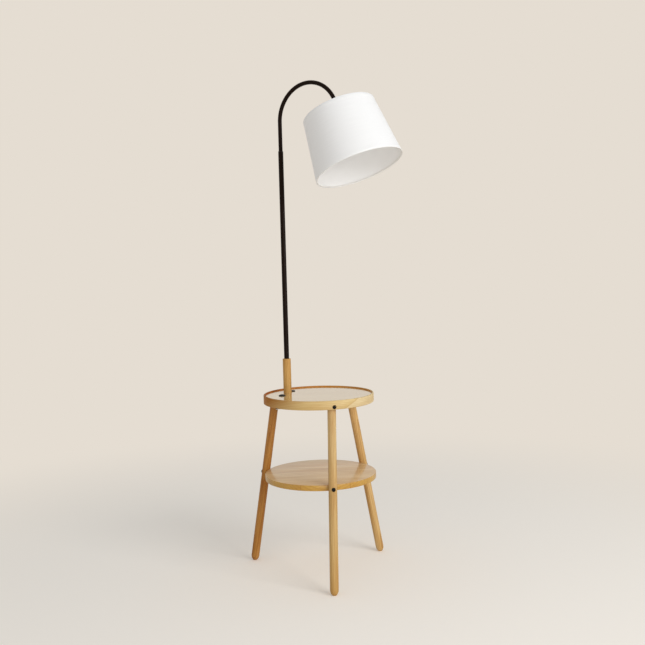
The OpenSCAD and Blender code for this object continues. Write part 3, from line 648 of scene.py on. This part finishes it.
legTurns = {"front": 0, "right": 120, "left": 240}
litAndShadedLegTones = {  # painted light and shade: the left dowel is darker, as in shade, and the front one paler, as lit
    "front": {"pale": srgb(233, 214, 166), "middle": srgb(225, 201, 149), "deep": srgb(212, 181, 125),
              # painted shade: the front dowel darkens towards its foot
              "footShadeTint": srgb(240, 222, 188), "tallTo": 0.57},
    "right": {"pale": srgb(231, 200, 142), "middle": srgb(220, 184, 122), "deep": srgb(206, 166, 102)},
    "left": {"pale": srgb(205, 153, 86), "middle": srgb(193, 139, 70), "deep": srgb(179, 123, 55)},
}
for legName, turn in legTurns.items():
    leg = makeLeg("leg_dowel_" + legName, legSizes, turn)
    spin = Matrix.Rotation(math.radians(turn), 4, "Z")
    foot, head = spin @ Vector(legSizes["foot"]), spin @ Vector(legSizes["head"])
    euler = frameAlong(foot, head).to_euler()
    wood = dict(legWood, seed=legWood["seed"] + turn / 40, **litAndShadedLegTones[legName])
    grain = woodMaterial("leg_wood_" + legName, wood, foot, euler)
    finishPiece(leg, "table", grain, ("leg_" + legName,))
print("legs made")

boltSizes = {"radius": 0.006, "height": 0.0044, "dome": 0.0038, "key": 0.002, "keyDepth": 0.0024, "keyOver": 0.001,
             "shank": 0.003, "shankDepth": 0.012, "shankInHead": 0.0003, "rimFrom": 0.1746, "rimHeight": 0.5463}


def makeBolt(sizes):
    bolt = addRod("bolt_pattern", sizes["radius"], 0.0, sizes["height"], sides=40)
    editMesh(bolt)
    roundEdge(sizes["radius"], sizes["height"], sizes["dome"], 7)
    leaveEdit()
    # the key's size is half the width across its flats
    key = addRod("key_cutter", sizes["key"] / math.cos(math.radians(30)), sizes["height"] - sizes["keyDepth"],
                 sizes["height"] + sizes["keyOver"], sides=6)
    cutAway(bolt, key)
    shank = addRod("shank", sizes["shank"], -sizes["shankDepth"], sizes["shankInHead"], sides=24)
    useOnly(bolt)
    shank.select_set(True)
    bpy.ops.object.join()
    return bolt


pattern = makeBolt(boltSizes)
for level, azimuth, start, height in (
        ("rim", legSizes["rimAzimuth"], boltSizes["rimFrom"], boltSizes["rimHeight"]),
        ("shelf", legSizes["shelfAzimuth"], legSizes["spotFrom"], legSizes["boltHeight"])):
    copies = []
    for turn in legTurns.values():
        copy = pattern.copy()
        copy.data = pattern.data.copy()
        bpy.context.collection.objects.link(copy)
        placeBy(copy, spokeFrame(azimuth + turn, start, height))
        copies.append(copy)
    useOnly(copies[0])
    for copy in copies[1:]:
        copy.select_set(True)
    bpy.ops.object.join()
    bolts = bpy.context.object
    bolts.name = level + "_dome_bolts"
    finishPiece(bolts, "table", finishes["black_bolt"], (level + "_bolts",))
bpy.data.objects.remove(pattern, do_unlink=True)
print("bolts made")

postSizes = {"radius": 0.013, "low": 0.5615, "top": 0.674, "round": 0.0015, "hole": 0.0081, "holeDepth": 0.006}


def makePost(sizes):
    piece = addRod("round_post", sizes["radius"], sizes["low"], sizes["top"], 64, post["x"], post["y"])
    editMesh(piece)
    pickFaces(facesUp)
    bpy.ops.mesh.inset(thickness=sizes["radius"] - sizes["hole"])
    bpy.ops.mesh.extrude_region_move(TRANSFORM_OT_translate={"value": (0, 0, -sizes["holeDepth"])})
    roundEdge(sizes["radius"], sizes["top"], sizes["round"], 4, post["x"], post["y"])
    leaveEdit()
    return piece


finishPiece(makePost(postSizes), "table", woods["post"], ("wooden_post",))

poleSizes = {"radius": 0.008, "low": 0.6401, "top": 1.3345, "round": 0.0003}
lowerPole = addRod("lower_pole_tube", poleSizes["radius"], poleSizes["low"], poleSizes["top"], 48,
                   post["x"], post["y"])
editMesh(lowerPole)
roundEdge(poleSizes["radius"], poleSizes["top"], poleSizes["round"], 2, post["x"], post["y"])
leaveEdit()
finishPiece(lowerPole, "table", finishes["pole_paint"], ("lower_pole",))

# the collar is a turned piece, given as (radius, height), as are the lamp holder and the fittings below
collarSteps = [(0.0072, 1.3300), (0.0072, 1.3345), (0.0078, 1.3345), (0.008, 1.3347), (0.008, 1.3356),
               (0.0076, 1.336), (0.0067, 1.336), (0.00645, 1.3357)]
collar = turnPiece("pole_collar", collarSteps, 48, post["x"], post["y"])
finishPiece(collar, "table", finishes["black_plastic"], ("upper_bush",))

arcSizes = {"radius": 0.00635, "low": 1.216, "bendStart": 1.4275, "bendRadius": 0.109, "azimuth": -33.2,
            "tilt": 21.3, "sides": 32, "spinSteps": 60}
bendAngle = math.radians(180 - arcSizes["tilt"])
azimuth = math.radians(arcSizes["azimuth"])
outward = Vector((math.cos(azimuth), math.sin(azimuth), 0))
upward = Vector((0, 0, 1))


def makeArc(sizes):
    deselectAll()
    bpy.ops.mesh.primitive_circle_add(vertices=sizes["sides"], radius=sizes["radius"], fill_type="NOTHING",
                                      location=(post["x"], post["y"], sizes["low"]))
    arc = bpy.context.object
    arc.name = "arc_tube_bent"
    bpy.ops.object.transform_apply(location=True, rotation=True, scale=True)
    bpy.ops.object.mode_set(mode="EDIT")
    bpy.ops.mesh.select_all(action="SELECT")
    bpy.ops.mesh.extrude_edges_move(
        TRANSFORM_OT_translate={"value": (0, 0, sizes["bendStart"] - sizes["low"])})
    centre = Vector((post["x"], post["y"], sizes["bendStart"])) + outward * sizes["bendRadius"]
    bpy.ops.mesh.spin(steps=sizes["spinSteps"], angle=bendAngle, center=centre, axis=outward.cross(upward))
    bpy.ops.mesh.select_all(action="SELECT")
    bpy.ops.mesh.remove_doubles(threshold=0.00001)
    bpy.ops.mesh.normals_make_consistent(inside=False)
    leaveEdit()
    return arc


arcTube = makeArc(arcSizes)
print("arc reaches", [round(v, 4) for v in (max(p.co.x for p in arcTube.data.vertices),
                                            max(p.co.z for p in arcTube.data.vertices))])
finishPiece(arcTube, "lamp_head", finishes["pole_paint"], ("arc_tube",))
print("post, pole and arc made")

# the head's own frame: its origin is the end of the bend, and Z runs down the shade's middle
headOrigin = (Vector((post["x"], post["y"], arcSizes["bendStart"] + arcSizes["bendRadius"] * math.sin(bendAngle)))
              + outward * arcSizes["bendRadius"] * (1 - math.cos(bendAngle)))
headDown = outward * math.sin(bendAngle) + upward * math.cos(bendAngle)
headSide = outward * math.cos(bendAngle) - upward * math.sin(bendAngle)
headAcross = headDown.cross(headSide)
headFrame = Matrix.Translation(headOrigin) @ Matrix((headSide, headAcross, headDown)).transposed().to_4x4()

# lamp holder, turned pieces given as (radius, distance from the end of the bend)
headPieces = {
    "tube_ferrule": ("end_ferrule", "pole_paint", [
        (0.0069, -0.004), (0.0074, -0.0036), (0.0075, -0.0032), (0.0075, 0.0304), (0.0073, 0.0308),
        (0.0068, 0.031)]),
    "holder_cap": ("socket_cap", "white_plastic", [
        (0.0078, 0.031), (0.0083, 0.0312), (0.0087, 0.0316), (0.0193, 0.0373), (0.0198, 0.0378), (0.02, 0.0384),
        (0.02, 0.0464), (0.0197, 0.0468), (0.0192, 0.0469)]),
}
for pieceName, (stands, finishName, steps) in headPieces.items():
    piece = turnPiece(pieceName, steps, 48)
    placeBy(piece, headFrame)
    finishPiece(piece, "lamp_head", finishes[finishName], (stands,))

shellSizes = {"radius": 0.019, "flange": 0.023, "start": 0.047, "flangeTall": 0.002, "corner": 0.0004,
              "threadFrom": 0.0595, "threadTo": 0.079, "pitch": 0.0025, "groove": 0.0007, "slope": 0.0006,
              "end": 0.101, "lip": 0.001, "lipInside": 0.0005, "bore": 0.017, "boreFrom": 0.0632}


def makeShell(sizes):
    r, flange, start, corner = sizes["radius"], sizes["flange"], sizes["start"], sizes["corner"]
    groove, slope, end, bore = r - sizes["groove"], sizes["slope"], sizes["end"], sizes["bore"]
    flangeEnd = start + sizes["flangeTall"]
    steps = [(flange - corner, start), (flange, start + corner), (flange, flangeEnd - corner),
             (flange - corner, flangeEnd), (r, flangeEnd), (r, sizes["threadFrom"])]
    at = sizes["threadFrom"]
    while at < sizes["threadTo"]:  # the ridges that the ring nut runs on
        steps += [(groove, at + slope), (groove, at + 2 * slope), (r, at + 3 * slope), (r, at + sizes["pitch"])]
        at += sizes["pitch"]
    steps += [(r - slope, at + slope), (r - slope, end - sizes["lip"]), (r - sizes["lip"], end),
              (bore + corner, end), (bore, end - sizes["lipInside"]), (bore, sizes["boreFrom"])]
    return turnPiece("holder_shell", steps, 64)


holderShell = makeShell(shellSizes)
placeBy(holderShell, headFrame)
finishPiece(holderShell, "lamp_head", finishes["white_plastic"], ("socket_shell",))

bulbSizes = {"ball": 0.030, "middle": 0.144, "neck": 0.0134, "start": 0.0903, "join": 48, "tip": 87,
             "straight": 0.25, "neckSteps": 8, "ballSteps": 28}


def makeBulb(sizes):
    neck, start, ball, straight = sizes["neck"], sizes["start"], sizes["ball"], sizes["straight"]
    steps = [(neck, start)]
    joinRadius = ball * math.cos(math.radians(sizes["join"]))
    joinAt = sizes["middle"] - ball * math.sin(math.radians(sizes["join"]))
    for i in range(1, sizes["neckSteps"]):  # the neck opens into the ball in an easy curve
        t = i / sizes["neckSteps"]
        ease = t * t * (3 - 2 * t)
        steps.append((neck + (joinRadius - neck) * (straight * t + (1 - straight) * ease),
                      start + (joinAt - start) * t))
    for i in range(sizes["ballSteps"] + 1):
        a = math.radians(-sizes["join"] + i * (sizes["tip"] + sizes["join"]) / sizes["ballSteps"])
        steps.append((ball * math.cos(a), sizes["middle"] + ball * math.sin(a)))
    return turnPiece("bulb_globe", steps, 64)


bulb = makeBulb(bulbSizes)
placeBy(bulb, headFrame)
finishPiece(bulb, "lamp_head", finishes["bulb_glass"], ("bulb_glass",), 60)
print("lamp holder and bulb made")

shadeSizes = {"topRadius": 0.1133, "lowRadius": 0.137, "clothRadius": 0.125, "start": 0.034, "length": 0.1896,
              "thickness": 0.001, "hem": 0.0003, "hemWidth": 0.009, "hemRise": 0.0006, "hemFall": 0.0003,
              "rows": 10, "sides": 192}


def makeShade(sizes):
    start, end, hem, hemWidth = sizes["start"], sizes["start"] + sizes["length"], sizes["hem"], sizes["hemWidth"]
    slope = (sizes["lowRadius"] - sizes["topRadius"]) / sizes["length"]
    plain = (sizes["length"] - 2 * hemWidth) / sizes["rows"]
    # rows as (distance from the end, how far the hem stands proud), then as (height, proud)
    hemRows = [(0.0, 0.0), (sizes["hemRise"], hem), (hemWidth - sizes["hemFall"], hem), (hemWidth, 0.0)]
    rows = [(start + fromEnd, proud) for fromEnd, proud in hemRows]
    rows += [(start + hemWidth + row * plain, 0.0) for row in range(1, sizes["rows"])]
    rows += [(end - fromEnd, proud) for fromEnd, proud in reversed(hemRows)]
    steps = [(sizes["topRadius"] + slope * (height - start) + proud - hem, height) for height, proud in rows]
    shade = turnPiece("shade_cover", steps, sizes["sides"], openEnds=True)

    mesh = shade.data
    while mesh.uv_layers:
        mesh.uv_layers.remove(mesh.uv_layers[0])
    cloth = mesh.uv_layers.new(name="cloth")
    for face in mesh.polygons:
        angles = [math.atan2(mesh.vertices[v].co.y, mesh.vertices[v].co.x) for v in face.vertices]
        wraps = max(angles) - min(angles) > math.pi
        for loop, v, angle in zip(face.loop_indices, face.vertices, angles):
            if wraps and angle < 0:
                angle += 2 * math.pi
            cloth.data[loop].uv = (angle * sizes["clothRadius"], mesh.vertices[v].co.z)  # in metres

    editMesh(shade)
    bpy.ops.mesh.select_all(action="SELECT")
    bpy.ops.mesh.normals_make_consistent(inside=False)
    leaveEdit()
    shade.data.materials.append(linen)
    shade.data.materials.append(lining)
    wall = shade.modifiers.new("wall", "SOLIDIFY")
    wall.thickness = sizes["thickness"] - hem
    wall.offset = -1
    wall.material_offset = 1
    wall.material_offset_rim = 0
    useOnly(shade)
    bpy.ops.object.modifier_apply(modifier="wall")
    return shade


shade = makeShade(shadeSizes)
placeBy(shade, headFrame)
finishPiece(shade, "lamp_head", None, ("shade_skin",))
print("shade made")

fittings = {"switch": (-0.115588, -0.013447), "port": (-0.089447, 0.084112)}
bezelSteps = [(0.01075, 0.5617), (0.01075, 0.5639), (0.01055, 0.5642), (0.01015, 0.5644), (0.0076, 0.5644),
              (0.007, 0.5642), (0.0064, 0.5636), (0.0064, 0.5552)]
buttonSteps = [(0.0058, 0.557), (0.0058, 0.5654), (0.0056, 0.566), (0.0051, 0.5662), (0.0046, 0.5661),
               (0.0034, 0.5658), (0.002, 0.5656), (0.0006, 0.5655)]

for fitting, (x, y) in fittings.items():
    bezel = turnPiece(fitting + "_flange", bezelSteps, 64, x, y)
    finishPiece(bezel, "table", finishes["black_plastic"], (fitting + "_bezel",))
button = turnPiece("push_cap", buttonSteps, 48, *fittings["switch"])
finishPiece(button, "push_button", finishes["fitting_face"], ("switch_button",))
print("fittings made")

backdropColour = srgb(229, 221, 210)
floorLook = {
    "radius": 14, "colour": srgb(243, 237, 228), "fadeFrom": 0.7, "fadeTo": 2.4,
    "liftColour": (1.0, 0.985, 0.94, 1.0), "lift": 0.15,
}


def makeStage(look):
    deselectAll()
    bpy.ops.mesh.primitive_circle_add(vertices=96, radius=look["radius"], fill_type="NGON", location=(0, 0, 0))
    floor = bpy.context.object
    floor.name = "studio_floor"
    paint, tree, shader = newMaterial("studio_floor_paint")
    link = tree.links.new
    coords = addNode(tree, "TexCoord")
    length = addNode(tree, "VectorMath", operation="LENGTH")
    link(coords.outputs["Object"], length.inputs[0])
    far = addNode(tree, "MapRange", interpolation_type="SMOOTHSTEP")  # the floor fades into the backdrop
    far.inputs["From Min"].default_value = look["fadeFrom"]
    far.inputs["From Max"].default_value = look["fadeTo"]
    link(length.outputs["Value"], far.inputs["Value"])
    shader.inputs["Base Color"].default_value = look["colour"]
    shader.inputs["Roughness"].default_value = 1.0
    shader.inputs["Specular IOR Level"].default_value = 0.0
    glow = addNode(tree, "Emission")
    glow.inputs["Color"].default_value = backdropColour
    lift = addNode(tree, "Emission")  # lifts the floor to the backdrop's tone, for the camera only
    lift.inputs["Color"].default_value = look["liftColour"]
    ray = addNode(tree, "LightPath")
    link(calc(tree, "MULTIPLY", ray.outputs["Is Camera Ray"], look["lift"]), lift.inputs["Strength"])
    near = addNode(tree, "AddShader")
    link(shader.outputs[0], near.inputs[0])
    link(lift.outputs[0], near.inputs[1])
    mix = addNode(tree, "MixShader")
    link(far.outputs["Result"], mix.inputs[0])
    link(near.outputs[0], mix.inputs[1])
    link(glow.outputs[0], mix.inputs[2])
    link(mix.outputs[0], tree.nodes["Material Output"].inputs["Surface"])
    floor.data.materials.append(paint)


worldStrength = 0.47


def makeWorld(strength):
    world = bpy.data.worlds.new("studio")
    bpy.context.scene.world = world
    world.use_nodes = True
    tree = world.node_tree
    link = tree.links.new
    seen = tree.nodes["Background"]
    seen.inputs["Color"].default_value = backdropColour
    seen.inputs["Strength"].default_value = 1.0
    light = addNode(tree, "Background")
    light.inputs["Color"].default_value = srgb(253, 253, 253)
    light.inputs["Strength"].default_value = strength
    ray = addNode(tree, "LightPath")
    direct = calc(tree, "MAXIMUM", ray.outputs["Is Camera Ray"], ray.outputs["Is Glossy Ray"])
    direct = calc(tree, "MAXIMUM", direct, ray.outputs["Is Transmission Ray"])
    mix = addNode(tree, "MixShader")
    link(direct, mix.inputs[0])
    link(light.outputs[0], mix.inputs[1])
    link(seen.outputs[0], mix.inputs[2])
    link(mix.outputs[0], tree.nodes["World Output"].inputs["Surface"])


lamps = {
    "key": {"place": (3.6, -3.4, 2.8), "aim": (0, 0, 0.8), "size": 3.0, "power": 134.0},
    "fill": {"place": (0.6, -2.4, 0.2), "aim": (0, 0, 1.1), "size": 1.6, "power": 15.0},
}


def makeLamps():
    for name, lamp in lamps.items():
        deselectAll()
        bpy.ops.object.light_add(type="AREA", location=lamp["place"])
        light = bpy.context.object
        light.name = name + "_light"
        light.data.size = lamp["size"]
        light.data.energy = lamp["power"]
        light.data.color = (1.0, 1.0, 1.0)
        light.rotation_euler = (Vector(lamp["aim"]) - Vector(lamp["place"])).to_track_quat("-Z", "Y").to_euler()


view = {"place": (0.06415, -2.74831, 0.96437), "yaw": -0.016631, "pitch": 0.063167, "roll": -0.026335,
        "lens": 48.54, "sensor": 36.0}


def makeCamera(sizes):
    deselectAll()
    bpy.ops.object.camera_add(location=sizes["place"])
    camera = bpy.context.object
    camera.name = "photo_view"
    camera.data.lens = sizes["lens"]
    camera.data.sensor_width = sizes["sensor"]
    camera.data.sensor_fit = "AUTO"
    yaw, pitch, roll = sizes["yaw"], sizes["pitch"], sizes["roll"]
    ahead = Vector((math.sin(yaw) * math.cos(pitch), math.cos(yaw) * math.cos(pitch), -math.sin(pitch)))
    right = Vector((math.cos(yaw), -math.sin(yaw), 0))
    up = right.cross(ahead)
    turnedRight = right * math.cos(roll) + up * math.sin(roll)
    turnedUp = up * math.cos(roll) - right * math.sin(roll)
    axes = Matrix((turnedRight, turnedUp, -ahead)).transposed().to_4x4()
    camera.matrix_world = Matrix.Translation(sizes["place"]) @ axes
    bpy.context.scene.camera = camera


makeStage(floorLook)
makeWorld(worldStrength)
makeLamps()
makeCamera(view)
bpy.context.scene.view_settings.view_transform = "Standard"
print("floor, light and camera made")
